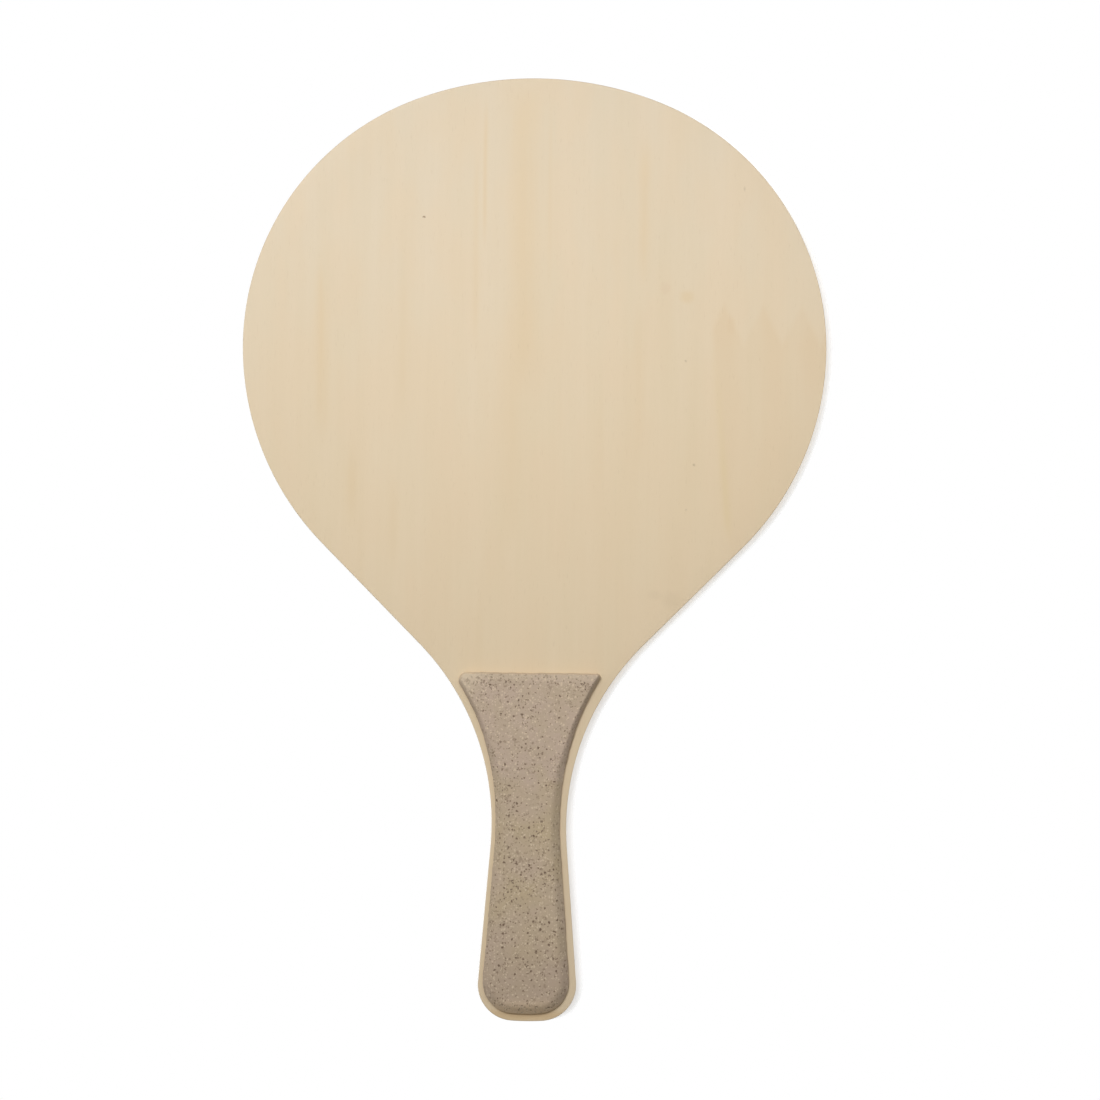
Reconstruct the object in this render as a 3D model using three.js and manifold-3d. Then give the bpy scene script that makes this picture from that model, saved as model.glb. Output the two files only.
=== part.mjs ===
// A wooden beach racket of the kind used for frescobol: a flat plywood board cut to one
// outline, with a firm grip pad on each face of its handle and a checkerboard printed on
// its back.
//
// All lengths are in millimetres. +Z runs from the butt of the handle to the tip of the
// blade, the plain face looks along -Y and the printed face along +Y. The origin is the
// lowest point of the butt, in the middle of the board's thickness.

import * as THREE from "three";
import { mergeVertices, toCreasedNormals } from "three/addons/utils/BufferGeometryUtils.js";
import Module from "manifold-3d";

// The board, seen from the front.
const LENGTH = 380;
const BLADE_WIDTH = 235.2;
const WAIST_WIDTH = 30.1; // the narrowest place of the handle
const CROWN_RADIUS = 138; // the tip of the blade
const LOWER_RADIUS = 113; // the blade's lower flanks
const NECK_RADIUS = 103; // the hollow between the blade and the handle
const FLARE_RADIUS = 121; // where the handle starts to widen again
const BUTT_CORNER_RADIUS = 14.5;
const CROWN_ANGLE = 20.5; // degrees that the tip's arc turns on each side
const SHOULDER_ANGLE = 45.2; // degrees between the straight shoulders and the handle's axis
const FLARE_ANGLE = 4.6; // degrees between the handle's lower sides and its axis
const BUTT_ANGLE = 3.6; // degrees that the butt's shallow end arc turns on each side

// The lay-up, from a face inwards.
const FACE_VENEER = 0.8;
const CROSS_PLY = 1.4;
const CORE_PLY = 1.4;
const GLUE_LINE = 0.05;
const EDGE_ROUND = 0.6; // the sanded edge of each face veneer

// The grip pads.
const PAD_THICKNESS = 4;
const PAD_ADHESIVE = 0.15;
const PAD_REACH = 61.3; // from the handle's waist up to the pad's top edge
const PAD_WAIST_RUN = 4.7; // the straight stretch of the pad's sides above the waist
const PAD_SIDE_RIM = 1.85; // the wood left bare beside the pad
const PAD_END_RIM = 2.5; // the wood left bare under the pad
const PAD_CORNER_RADIUS = 3.6; // its two top corners
const PAD_WALL = 1; // the upright part of its edge, under the rolled part
const PAD_ROLL_WIDTH = 3; // how far the rolled edge reaches in over the top
const SHARPEST_CORNER_SHARE = 0.05; // of the corner radius, where the rolled edge uses it up

// The checkerboard on the back.
const SQUARES = 8;
const SQUARE_SIZE = 19.2;
const BORDER_LINE = 1.2;
const BOARD_DROP = 35; // from the tip of the blade down to the border's outer edge
const INK_THICKNESS = 0.06;
const INK_SPREAD = 0.15; // how far the ink of a dark square runs past its corners

// How many straight steps stand for each arc, the same in an outline and in all its insets.
const CROWN_STEPS = 8;
const UPPER_STEPS = 24;
const LOWER_STEPS = 16;
const NECK_STEPS = 16;
const FLARE_STEPS = 2;
const BUTT_CORNER_STEPS = 12;
const BUTT_STEPS = 3;
const PAD_CORNER_STEPS = 6;
const ROUND_STEPS = 3; // across the sanded edge of a face veneer
const ROLL_STEPS = 6; // across the rolled edge of a grip pad

const radians = THREE.MathUtils.degToRad;
const DOWN = radians(90);
const BACK = radians(180);
const CROWN_END = radians(CROWN_ANGLE);
const SHOULDER = radians(180 - SHOULDER_ANGLE);
const FLARE = radians(90 - FLARE_ANGLE);
const BUTT = radians(180 - BUTT_ANGLE);

// An outline is a chain of tangent stretches down its right half, from its top centre to its
// bottom centre. The heading starts at zero, along +X, and grows as the outline turns down.
// An arc that adds to the heading bulges outwards, and one that takes from it is hollow.
const arcTo = (heading, radius, steps) => ({ heading, radius, steps });
const straight = (run) => ({ run });

/** How far across and how far down a chain of stretches leads. */
function travel(stretches, startHeading) {
  let heading = startHeading;
  let across = 0;
  let down = 0;
  for (const stretch of stretches) {
    if (stretch.run === undefined) {
      const side = Math.sign(stretch.heading - heading);
      across += side * stretch.radius * (Math.sin(stretch.heading) - Math.sin(heading));
      down += side * stretch.radius * (Math.cos(heading) - Math.cos(stretch.heading));
      heading = stretch.heading;
    } else {
      across += stretch.run * Math.cos(heading);
      down += stretch.run * Math.sin(heading);
    }
  }
  return { across, down };
}

/**
 * The handle below its waist: a hollow flare, a straight side, a round corner and a shallow
 * end arc, all moved in from the board's own by `inset`. The straight side and the end arc
 * take what it needs to reach the axis `drop` below the waist.
 */
function handleEnd(halfWaist, drop, inset) {
  const flare = arcTo(FLARE, FLARE_RADIUS + inset, FLARE_STEPS);
  const corner = arcTo(BUTT, BUTT_CORNER_RADIUS - inset, BUTT_CORNER_STEPS);
  const widened = travel([flare], DOWN);
  const rounded = travel([corner], FLARE);
  const across = halfWaist + widened.across + rounded.across;
  const down = widened.down + rounded.down;
  const buttRise = (1 + Math.cos(BUTT)) / Math.sin(BUTT);
  const side = (drop - down - across * buttRise) / (Math.sin(FLARE) + Math.cos(FLARE) * buttRise);
  const buttRadius = (across + side * Math.cos(FLARE)) / Math.sin(BUTT);
  return [flare, straight(side), corner, arcTo(BACK, buttRadius, BUTT_STEPS)];
}

/**
 * The blade, from its tip down to the handle's waist, moved in by `inset`. The upper flanks
 * take the radius that gives the blade its width, and the straight shoulders the length that
 * leads from there to the waist.
 */
function bladeStretches(inset) {
  const crown = CROWN_RADIUS - inset;
  const lower = LOWER_RADIUS - inset;
  const neck = NECK_RADIUS + inset;
  const sine = Math.sin(CROWN_END);
  const upper = (BLADE_WIDTH / 2 - inset - crown * sine) / (1 - sine);
  const turned = (lower + neck) * (1 - Math.sin(SHOULDER));
  const shoulder = ((BLADE_WIDTH - WAIST_WIDTH) / 2 - turned) / -Math.cos(SHOULDER);
  return [
    arcTo(CROWN_END, crown, CROWN_STEPS),
    arcTo(DOWN, upper, UPPER_STEPS),
    arcTo(SHOULDER, lower, LOWER_STEPS),
    straight(shoulder),
    arcTo(DOWN, neck, NECK_STEPS),
  ];
}

const waistHeight = LENGTH - travel(bladeStretches(0), 0).down;

/** The outline of the board, moved in by `inset`. */
function boardOutline(inset) {
  const handle = handleEnd(WAIST_WIDTH / 2 - inset, waistHeight - inset, inset);
  return { top: LENGTH - inset, stretches: [...bladeStretches(inset), ...handle] };
}

/**
 * The outline of a grip pad, moved in by `inset`. Above the waist its sides follow a hollow
 * arc like the board's own, set a little higher, so the bare rim widens towards the blade.
 * Below the waist they run beside the board's edge.
 */
function padOutline(inset) {
  const halfWaist = WAIST_WIDTH / 2 - PAD_SIDE_RIM - inset;
  const sharpest = PAD_CORNER_RADIUS * SHARPEST_CORNER_SHARE;
  const corner = Math.max(PAD_CORNER_RADIUS - inset, sharpest);
  const neck = NECK_RADIUS + inset;
  const rise = PAD_REACH - PAD_WAIST_RUN - inset;
  const sideHeading = Math.acos((corner - rise) / (corner + neck));
  const sides = [
    arcTo(sideHeading, corner, PAD_CORNER_STEPS),
    arcTo(DOWN, neck, NECK_STEPS),
  ];
  const drop = waistHeight - PAD_END_RIM - inset;
  const stretches = [
    straight(halfWaist - travel(sides, 0).across),
    ...sides,
    straight(PAD_WAIST_RUN),
    ...handleEnd(halfWaist, drop, PAD_SIDE_RIM + inset),
  ];
  return { top: waistHeight + PAD_REACH - inset, stretches };
}

/** The points [x, z] down the right half of an outline. */
function halfPoints({ top, stretches }) {
  let x = 0;
  let z = top;
  let heading = 0;
  const points = [[x, z]];
  for (const stretch of stretches) {
    if (stretch.run === undefined) {
      const turn = stretch.heading - heading;
      const reach = Math.sign(turn) * stretch.radius;
      const centreX = x - reach * Math.sin(heading);
      const centreZ = z - reach * Math.cos(heading);
      for (let left = stretch.steps - 1; left >= 0; left--) {
        heading = stretch.heading - (turn * left) / stretch.steps;
        x = centreX + reach * Math.sin(heading);
        z = centreZ + reach * Math.cos(heading);
        points.push([x, z]);
      }
    } else {
      x += stretch.run * Math.cos(heading);
      z -= stretch.run * Math.sin(heading);
      points.push([x, z]);
    }
  }
  points[points.length - 1][0] = 0;
  return points;
}

/**
 * A closed solid lofted through rings. Each ring is an outline moved in by its own inset, in
 * the plane Y = y. The first and last ring are closed by a ladder of flat faces between the
 * right half and its mirror image.
 */
function loft(outline, rings) {
  const ordered = rings[0].y < rings[rings.length - 1].y ? rings : [...rings].reverse();
  const positions = [];
  for (const { inset, y } of ordered) {
    const right = halfPoints(outline(inset));
    const left = right.slice(1, -1).reverse();
    for (const [x, z] of right) positions.push(x, y, z);
    for (const [x, z] of left) positions.push(-x, y, z);
  }
  const around = positions.length / 3 / ordered.length;
  const half = around / 2;
  const faces = [];
  for (let ring = 0; ring + 1 < ordered.length; ring++) {
    for (let i = 0; i < around; i++) {
      const a = ring * around + i;
      const b = ring * around + ((i + 1) % around);
      faces.push(a, b, b + around, a, b + around, a + around);
    }
  }
  const far = (ordered.length - 1) * around;
  for (let right = 0; right < half; right++) {
    const left = (around - right) % around;
    const nextLeft = around - right - 1;
    const next = right + 1;
    if (next !== nextLeft) faces.push(right, nextLeft, next, far + right, far + next, far + nextLeft);
    if (right !== left) faces.push(right, left, nextLeft, far + right, far + nextLeft, far + left);
  }
  const geometry = new THREE.BufferGeometry();
  geometry.setAttribute("position", new THREE.Float32BufferAttribute(positions, 3));
  geometry.setIndex(faces);
  return geometry;
}

/** The rings of an edge that curves in by `width` on its way from y0 to y1. */
function roundedEdge(width, y0, y1, steps) {
  const rings = [];
  for (let i = 0; i <= steps; i++) {
    const angle = (DOWN * i) / steps;
    rings.push({ inset: width * (1 - Math.cos(angle)), y: y0 + (y1 - y0) * Math.sin(angle) });
  }
  return rings;
}

/** A layer of even thickness between the planes y0 and y1. */
const layer = (outline, y0, y1) => loft(outline, [{ inset: 0, y: y0 }, { inset: 0, y: y1 }]);

/** A face veneer: square at its glued side, y0, and sanded round at its face, y1. */
function veneer(y0, y1) {
  const roundStart = y1 - Math.sign(y1) * EDGE_ROUND;
  const edge = roundedEdge(EDGE_ROUND, roundStart, y1, ROUND_STEPS);
  return loft(boardOutline, [{ inset: 0, y: y0 }, ...edge]);
}

/** A grip pad on the plane y0: a short upright wall under a rolled edge and a flat top. */
function gripPad(y0) {
  const out = Math.sign(y0);
  const wallTop = y0 + out * PAD_WALL;
  const edge = roundedEdge(PAD_ROLL_WIDTH, wallTop, y0 + out * PAD_THICKNESS, ROLL_STEPS);
  return loft(padOutline, [{ inset: 0, y: y0 }, ...edge]);
}

const wasm = await Module();
wasm.setup();

/** A closed geometry as a solid that can be joined to others. */
function solidOf(geometry) {
  const bare = geometry.clone().deleteAttribute("normal").deleteAttribute("uv");
  const merged = mergeVertices(bare);
  const vertProperties = merged.attributes.position.array;
  const triVerts = new Uint32Array(merged.index.array);
  return new wasm.Manifold(new wasm.Mesh({ numProp: 3, vertProperties, triVerts }));
}

/** The surface of a solid as a geometry. */
function geometryOf(solid) {
  const { vertProperties, triVerts } = solid.getMesh();
  const geometry = new THREE.BufferGeometry();
  geometry.setAttribute("position", new THREE.Float32BufferAttribute(vertProperties, 3));
  geometry.setIndex([...triVerts]);
  return geometry;
}

/**
 * The print: one film of ink on the plane y0, with a border line and every other square.
 * A dark square's ink runs a little past its corners and meets the next one's there, so the
 * film hangs together. Seen from the back, handle down, the lower left square is dark.
 */
function checkerboard(y0) {
  const side = SQUARES * SQUARE_SIZE;
  const top = LENGTH - BOARD_DROP - BORDER_LINE;
  const middle = top - side / 2;
  const blot = (width, height, x, z) => {
    const box = new THREE.BoxGeometry(width, INK_THICKNESS, height);
    return solidOf(box.translate(x, y0 + INK_THICKNESS / 2, z));
  };
  const long = side + 2 * BORDER_LINE;
  const line = BORDER_LINE + INK_SPREAD;
  const offset = (side + BORDER_LINE - INK_SPREAD) / 2;
  const square = SQUARE_SIZE + 2 * INK_SPREAD;
  const blots = [];
  for (const edge of [-offset, offset]) {
    blots.push(blot(long, line, 0, middle + edge), blot(line, long, edge, middle));
  }
  for (let row = 0; row < SQUARES; row++) {
    for (let column = row % 2; column < SQUARES; column += 2) {
      const x = side / 2 - (column + 0.5) * SQUARE_SIZE;
      const z = top - side + (row + 0.5) * SQUARE_SIZE;
      blots.push(blot(square, square, x, z));
    }
  }
  return geometryOf(blots.reduce((film, next) => film.add(next)));
}

/** A matt material of one colour. */
function matt(color, roughness) {
  return new THREE.MeshStandardMaterial({ color, roughness, metalness: 0 });
}

const faceWood = matt(0xdecdad, 0.62);
const crossWood = matt(0xc6aa7c, 0.72);
const coreWood = matt(0xd8c196, 0.7);
const glue = matt(0x6f5436, 0.5);
const foam = matt(0xae987f, 0.88);
const tape = matt(0xd9cfba, 0.4);
const ink = matt(0x24201e, 0.55);

/** Adds a named piece to a group. */
function addPiece(group, name, geometry, material) {
  const mesh = new THREE.Mesh(toCreasedNormals(geometry), material);
  mesh.name = name;
  group.add(mesh);
}

// The planes between the layers, counted from the middle of the board outwards.
const coreFace = CORE_PLY / 2;
const crossBack = coreFace + GLUE_LINE;
const crossFace = crossBack + CROSS_PLY;
const veneerBack = crossFace + GLUE_LINE;
const veneerFace = veneerBack + FACE_VENEER;
const padBack = veneerFace + PAD_ADHESIVE;

const racket = new THREE.Group();
const board = new THREE.Group();
const grip = new THREE.Group();
racket.add(board, grip);

addPiece(board, "core_ply", layer(boardOutline, -coreFace, coreFace), coreWood);
for (const [side, out] of [["front", -1], ["back", 1]]) {
  const sheet = (near, far) => layer(boardOutline, out * near, out * far);
  addPiece(board, `${side}_core_glue`, sheet(coreFace, crossBack), glue);
  addPiece(board, `${side}_cross_ply`, sheet(crossBack, crossFace), crossWood);
  addPiece(board, `${side}_veneer_glue`, sheet(crossFace, veneerBack), glue);
  addPiece(board, `${side}_face_veneer`, veneer(out * veneerBack, out * veneerFace), faceWood);
  const film = layer(padOutline, out * veneerFace, out * padBack);
  addPiece(grip, `${side}_pad_adhesive`, film, tape);
  addPiece(grip, `${side}_grip_pad`, gripPad(out * padBack), foam);
}
addPiece(board, "checkerboard_print", checkerboard(veneerFace), ink);

export default racket;
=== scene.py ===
# %% [markdown]
# # A wooden beach racket
#
# The racket is a flat board of five layers of wood, cut to one outline, with a firm speckled
# grip pad on each face of its handle and a checkerboard printed on its back. It is packed as a
# CAD part already, so every size and place is settled. This script gives that part its looks:
# fine surfaces in place of the CAD's plain ones, and a material with the real detail for each.
#
# All lengths are in metres. +Z runs from the butt to the tip of the blade, the plain face looks
# along -Y and the printed one along +Y.

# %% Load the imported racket
import math

import bpy
import numpy as np
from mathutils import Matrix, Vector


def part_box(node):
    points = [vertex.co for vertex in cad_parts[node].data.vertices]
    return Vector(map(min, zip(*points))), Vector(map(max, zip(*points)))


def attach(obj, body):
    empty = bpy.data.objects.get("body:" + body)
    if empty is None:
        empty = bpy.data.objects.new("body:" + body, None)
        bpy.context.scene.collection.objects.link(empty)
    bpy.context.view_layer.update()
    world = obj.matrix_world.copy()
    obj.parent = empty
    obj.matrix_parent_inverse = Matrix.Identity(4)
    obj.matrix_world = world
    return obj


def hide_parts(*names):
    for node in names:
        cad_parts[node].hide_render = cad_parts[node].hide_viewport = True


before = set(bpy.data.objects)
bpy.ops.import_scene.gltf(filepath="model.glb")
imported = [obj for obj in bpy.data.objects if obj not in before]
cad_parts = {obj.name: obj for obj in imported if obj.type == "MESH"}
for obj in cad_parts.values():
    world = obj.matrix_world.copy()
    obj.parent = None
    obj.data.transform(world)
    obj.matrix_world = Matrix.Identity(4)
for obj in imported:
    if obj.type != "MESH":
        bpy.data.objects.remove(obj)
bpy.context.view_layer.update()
millimetre = 0.001


def placed(name, data):
    """A new object in the scene."""
    thing = bpy.data.objects.new(name, data)
    bpy.context.scene.collection.objects.link(thing)
    return thing


print("CAD nodes:", ", ".join(sorted(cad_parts)))

# %% [markdown]
# ## The camera
#
# The picture was taken square to the board's face, from far enough that nothing looks wider at
# one end, with the racket turned by less than a degree in the picture. A long lens two metres
# away gives that. The turn goes into the camera, so the racket itself stays upright.

# %% The camera
camera_distance = 2.0
picture_width = 0.4433  # how much of the face's plane the picture takes in
picture_turn = math.radians(0.686)
picture_centre = (0.00718, 0.19)
front_face_depth = -0.003

camera_data = bpy.data.cameras.new("camera")
camera_data.sensor_width = 36
camera_data.lens = camera_data.sensor_width * camera_distance / picture_width
camera = placed("camera", camera_data)
camera.location = (picture_centre[0], front_face_depth - camera_distance, picture_centre[1])
camera.rotation_euler = (math.radians(90), -picture_turn, 0)
bpy.context.scene.camera = camera
bpy.context.scene.view_settings.view_transform = "Standard"
print(f"lens {camera_data.lens:.1f} mm")

# %% [markdown]
# ## Helpers for shader nodes
#
# A material is a tree of nodes. Small helpers keep the cells below short. One adds any node and
# fills or links its sockets. The others do arithmetic, noise and mixing with it, in the tree of
# the sockets they are given, or start a material or a group, an effect that several share.


# %% Helpers for shader nodes
def put(tree, kind, inputs=(), **settings):
    """Adds a node with its settings. A socket in inputs is linked, a value is filled in."""
    node = tree.nodes.new("ShaderNode" + kind)
    for key, value in settings.items():
        setattr(node, key, value)
    for key, value in dict(inputs).items():
        socket = node.inputs[key]
        if isinstance(value, bpy.types.NodeSocket):
            tree.links.new(value, socket)
        else:
            socket.default_value = (*value, 1) if socket.type == "RGBA" else value
    return node


def tree_of(*values):
    """The tree in which the first socket among some values stands."""
    return next(v.id_data for v in values if isinstance(v, bpy.types.NodeSocket))


def link(value, socket):
    """Feeds one socket from another."""
    tree_of(value).links.new(value, socket)


def calc(operation, *values, clamp=False):
    """The result of one Math node."""
    inputs = dict(enumerate(values))
    return put(tree_of(*values), "Math", inputs, operation=operation, use_clamp=clamp).outputs[0]


def minus(first, second):
    """The difference of two values."""
    return calc("SUBTRACT", first, second)


def plus(*values):
    """The sum of some values."""
    total = values[0]
    for value in values[1:]:
        total = calc("ADD", total, value)
    return total


def times(*values):
    """The product of some values."""
    product = values[0]
    for value in values[1:]:
        product = calc("MULTIPLY", product, value)
    return product


def ramp(value, low, high, start=0.0, end=1.0):
    """Goes smoothly from start to end as value goes from low to high, and is flat outside."""
    inputs = {0: value, 1: low, 2: high, 3: start, 4: end}
    return put(tree_of(value), "MapRange", inputs, interpolation_type="SMOOTHSTEP").outputs[0]


def vector(operation, first, second):
    """The result of one Vector Math node on two vectors, or on a vector and its scale."""
    inputs = {0: first, "Scale" if operation == "SCALE" else 1: second}
    return put(tree_of(first), "VectorMath", inputs, operation=operation).outputs[0]


def axes(place):
    """The three parts of a vector."""
    return put(tree_of(place), "SeparateXYZ", {0: place}).outputs


def noise(place, scale, detail, roughness=0.5):
    """Cloudy noise around 0.5."""
    inputs = {"Vector": place, "Scale": scale, "Detail": detail, "Roughness": roughness}
    return put(tree_of(place), "TexNoise", inputs).outputs[0]


def unsettled(place, scale, reach):
    """A place shaken by noise, by up to half of reach each way along each axis."""
    inputs = {"Vector": place, "Scale": scale, "Detail": 2}
    shake = put(tree_of(place), "TexNoise", inputs).outputs[1]
    return vector("ADD", place, vector("SCALE", vector("SUBTRACT", shake, (0.5, 0.5, 0.5)), reach))


def mix(share, first, second, blend="MIX"):
    """The colour that goes from the first to the second as share goes from 0 to 1."""
    inputs = {0: share, 6: first, 7: second}
    tree = tree_of(share, first, second)
    return put(tree, "Mix", inputs, data_type="RGBA", blend_type=blend).outputs[2]


def new_group(name, takes, gives):
    """A node group with named sockets: its tree, what it takes in and what it gives out."""
    tree = bpy.data.node_groups.new(name, "ShaderNodeTree")
    for label, kind, value in takes:
        socket = tree.interface.new_socket(label, in_out="INPUT", socket_type="NodeSocket" + kind)
        socket.default_value = value
    for label, kind in gives:
        tree.interface.new_socket(label, in_out="OUTPUT", socket_type="NodeSocket" + kind)
    entry = tree.nodes.new("NodeGroupInput")
    way_out = tree.nodes.new("NodeGroupOutput")
    return tree, entry.outputs, way_out.inputs


def emptied(owner):
    """The node tree of a material or world, with no nodes."""
    owner.use_nodes = True
    owner.node_tree.nodes.clear()
    return owner.node_tree


def new_material(name, **constants):
    """A material: itself, its tree, its Principled shader and the place of the shaded point."""
    material = bpy.data.materials.new(name)
    tree = emptied(material)
    shader = put(tree, "BsdfPrincipled", {k.replace("_", " "): v for k, v in constants.items()})
    put(tree, "OutputMaterial", {"Surface": shader.outputs[0]})
    return material, tree, shader, put(tree, "TexCoord").outputs["Object"]


def finish(shader, colour, roughness, height, strength, distance):
    """Feeds a shader its colour and roughness, and fine relief from a height."""
    inputs = {"Height": height, "Strength": strength, "Distance": distance}
    link(colour, shader.inputs["Base Color"])
    link(roughness, shader.inputs["Roughness"])
    link(put(tree_of(height), "Bump", inputs).outputs[0], shader.inputs["Normal"])


def seen_directly(tree):
    """1 where the camera sees a thing, also in a reflection or through glass, and else 0."""
    seen = put(tree, "LightPath").outputs
    direct = calc("MAXIMUM", seen["Is Camera Ray"], seen["Is Glossy Ray"])
    return calc("MAXIMUM", direct, seen["Is Transmission Ray"])


print("helpers ready")

# %% [markdown]
# ## The light
#
# The rolled edges and the narrow shadows tell where the light came from: mostly from a little
# to the left and above, quite far away. The blade is lightest near its tip and darkens towards
# the butt, as under a second lamp close in front of the upper blade, here a wide strip. The
# world adds an even, slightly warm light. The back has the same lamps, turned round and
# weaker, because two more stand at its sides. Those light the plywood's edges as well, and
# stand far enough behind the board to leave the front pad's rolled edges alone.


# %% The light
def softbox(name, place, aim, size, power, colour):
    """A rectangular lamp at place that shines towards aim."""
    data = bpy.data.lights.new(name, "AREA")
    data.shape = "RECTANGLE"
    data.size, data.size_y = size
    data.energy = power
    data.color = colour
    lamp = placed(name, data)
    place = np.array(place)
    towards = np.array(aim) - place
    level = math.hypot(towards[0], towards[1])
    turn = math.atan2(-towards[0], towards[1])
    lamp.location = place
    lamp.rotation_euler = (math.atan2(level, -towards[2]), 0, turn)
    lamp.visible_camera = False
    return lamp


middle = (0, 0, 0.19)
upper_blade = 0.324
key_size = (0.5, 0.5)
white = (1, 1, 1)
# Each side's name, and the power of its key lamp and of its strip in watts.
sides = [(1, "front", 11.6, 0.364), (-1, "back", 2.6, 0.22)]
for side, name, key_power, strip_power in sides:
    key_place = (-0.32 * side, -1.45 * side, 0.75)
    softbox(f"{name}_softbox", key_place, middle, key_size, key_power, white)
    strip_place = (0.014 * side, -0.3 * side, upper_blade)
    strip_aim = (0.014 * side, 0, upper_blade)
    softbox(f"{name}_strip", strip_place, strip_aim, (0.5, 0.08), strip_power, white)
for side, name in ((1, "right"), (-1, "left")):
    edge_place = (1.05 * side, 0.84, 0.25)
    softbox(f"{name}_edge_lamp", edge_place, middle, (0.3, 0.5), 6.0, (1, 0.99, 0.97))
softbox("front_side_lamp", (-1.2, -0.5, 0.3), middle, key_size, 1.0, (1, 0.98, 0.95))

world = bpy.data.worlds.new("studio")
bpy.context.scene.world = world
tree = emptied(world)
even = put(tree, "Background", {"Color": (1, 0.97, 0.92), "Strength": 0.25})
plain = put(tree, "Background", {"Color": white, "Strength": 1})
both = put(tree, "MixShader", {0: seen_directly(tree), 1: even.outputs[0], 2: plain.outputs[0]})
put(tree, "OutputWorld", {"Surface": both.outputs[0]})

# %% [markdown]
# ## The outline
#
# A racket like this is cut along one template: a nearly round blade whose flanks run into
# straight shoulders, hollow necks, a slim waist and a flared butt with round corners. Each of
# these is an arc or a straight that meets the next without a kink, so the outline can be
# written as a short chain of stretches down its right half, and moving it in by some distance
# only changes their radii. A curve fitted through points would do for the look, but it
# couldn't be moved in so exactly, and the layers and the rolled edges all need that.

# %% The board's sizes
board_length = 0.380
blade_width = 0.2352
waist_width = 0.0301
crown_radius = 0.138
lower_radius = 0.113
neck_radius = 0.103
flare_radius = 0.121
butt_corner_radius = 0.0145
down = math.radians(90)
back = math.radians(180)
crown_end = math.radians(20.5)
shoulder_heading = math.radians(180 - 45.2)
flare_heading = math.radians(90 - 4.6)
butt_heading = math.radians(180 - 3.6)


def arc(heading, radius):
    """A stretch that turns to a heading along a circle."""
    return {"heading": heading, "radius": radius}


def straight(run):
    """A stretch that keeps its heading."""
    return {"run": run}


def led(stretch, heading, share=1.0):
    """How far across and down a share of a stretch leads, and the heading at its end.
    A straight of length r at heading h leads r cos h across and r sin h down. An arc of radius
    r from h to k leads r (sin k - sin h) across and r (cos h - cos k) down, and the other way
    round where the heading falls."""
    if "run" in stretch:
        run = stretch["run"]
        return run * math.cos(heading) * share, run * math.sin(heading) * share, heading
    turn = stretch["heading"] - heading
    reach = math.copysign(stretch["radius"], turn)
    headings = heading + turn * share
    across = reach * (np.sin(headings) - math.sin(heading))
    fall = reach * (math.cos(heading) - np.cos(headings))
    return across, fall, stretch["heading"]


def travel(stretches, heading):
    """How far across and how far down a chain leads."""
    total = np.zeros(2)
    for stretch in stretches:
        *step, heading = led(stretch, heading)
        total += step
    return total


def handle_end(half_waist, drop, inset):
    """The handle below its waist: a flare, a straight side, a corner and a shallow end arc.
    The side and the end arc get the lengths that bring the chain to the axis, drop below the
    waist."""
    flare = arc(flare_heading, flare_radius + inset)
    corner = arc(butt_heading, butt_corner_radius - inset)
    widened = travel([flare], down)
    rounded = travel([corner], flare_heading)
    across = half_waist + widened[0] + rounded[0]
    fall = widened[1] + rounded[1]
    rise = (1 + math.cos(butt_heading)) / math.sin(butt_heading)
    lean = math.sin(flare_heading) + math.cos(flare_heading) * rise
    side = (drop - fall - across * rise) / lean
    end_radius = (across + side * math.cos(flare_heading)) / math.sin(butt_heading)
    return [flare, straight(side), corner, arc(back, end_radius)]


def blade(inset):
    """The blade from its tip to the handle's waist, moved in by inset."""
    crown = crown_radius - inset
    lower = lower_radius - inset
    neck = neck_radius + inset
    sine = math.sin(crown_end)
    upper = (blade_width / 2 - inset - crown * sine) / (1 - sine)
    turned = (lower + neck) * (1 - math.sin(shoulder_heading))
    shoulder = ((blade_width - waist_width) / 2 - turned) / -math.cos(shoulder_heading)
    return [
        arc(crown_end, crown),
        arc(down, upper),
        arc(shoulder_heading, lower),
        straight(shoulder),
        arc(down, neck),
    ]


waist_height = board_length - travel(blade(0), 0)[1]


def board_outline(inset):
    """The height of the board's top and its chain of stretches, moved in by inset."""
    handle = handle_end(waist_width / 2 - inset, waist_height - inset, inset)
    return board_length - inset, blade(inset) + handle


print(f"waist at {waist_height * 1000:.1f} mm")

# %% [markdown]
# ## From stretches to points, and from rings to a solid
#
# Every piece of this racket is a slab: an outline carried from one face to the other, moved in
# a little more or less on the way. So one function serves them all. It takes rings, each an
# outline at one depth, joins them into a wall, and closes both ends with a grid of rows that
# run from the right half to the left. The rows make an even mesh, so the faces can carry a
# little relief as well.


# %% From stretches to points
def steps_along(outline, spacing, turn):
    """How many steps each stretch gets: no longer than spacing and no sharper than turn."""
    heading = 0.0
    counts = []
    for stretch in outline(0)[1]:
        bend = 0.0 if "run" in stretch else abs(stretch["heading"] - heading)
        length = stretch["run"] if "run" in stretch else bend * stretch["radius"]
        heading = stretch.get("heading", heading)
        counts.append(max(2, math.ceil(length / spacing), math.ceil(bend / turn)))
    return counts


def trace(outline, inset, counts):
    """The points (x, z) down one half of an outline, evenly spaced along each stretch."""
    z, stretches = outline(inset)
    x, heading = 0.0, 0.0
    parts = [np.array([[x, z]])]
    for stretch, count in zip(stretches, counts):
        share = np.arange(1, count + 1) / count
        across, fall, heading = led(stretch, heading, share)
        parts.append(np.stack([x + across, z - fall], 1))
        x, z = parts[-1][-1]
    points = np.concatenate(parts)
    points[-1, 0] = 0
    return points


# %% From rings to a solid
rim_width = 0.004  # how far in from a face's border its relief grows to its full height
crest_reach = 0.004  # how far under a straight top edge the rows still follow its waves
sharp_edge = math.radians(42)


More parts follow.
